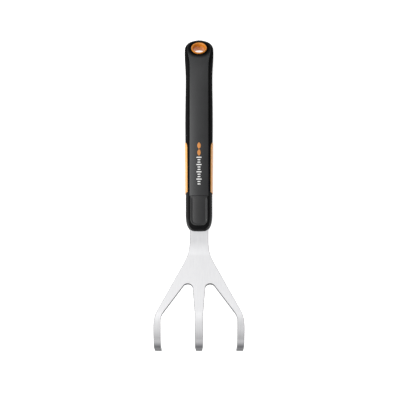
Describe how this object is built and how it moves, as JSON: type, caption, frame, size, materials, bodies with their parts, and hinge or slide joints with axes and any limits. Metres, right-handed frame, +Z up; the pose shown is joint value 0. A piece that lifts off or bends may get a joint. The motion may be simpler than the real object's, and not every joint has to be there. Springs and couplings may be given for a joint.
{
  "type": "hand weeder",
  "caption": "Hand weeder with a three-tined claw of bent stainless plate, a long handle with soft flanks, bright side inlays, a front collar and a lined hanging hole.",
  "frame": {"origin": "middle of the tool's bounding box on the surface that it rests on, with the butt of the handle and the tine tips down", "axes": "+X from the butt towards the tines, +Y towards the left tine seen from the butt, +Z up"},
  "size_m": [0.3219, 0.0874, 0.0528],
  "materials": {
    "stainless_plate": "fine satin grain along the tool",
    "core_nylon": "moulded glass-filled nylon",
    "rivet_steel": "plain",
    "satin_spine": "satin, charcoal",
    "soft_grip_rubber": "fine matt texture",
    "bright_inlay": "fine matt texture",
    "collar_plastic": "satin",
    "cap_plastic": "satin",
    "eyelet_plastic": "semi-gloss"
  },
  "bodies": {
    "root": {"claw_head": "stainless_plate", "handle_core": "core_nylon", "tang_rivets": "rivet_steel", "grip_spine": "satin_spine", "soft_grip": "soft_grip_rubber", "side_inlay_left": "bright_inlay", "side_inlay_right": "bright_inlay", "front_collar": "collar_plastic", "collar_cap": "cap_plastic", "hang_eyelet": "eyelet_plastic"}
  },
  "joints": []
}
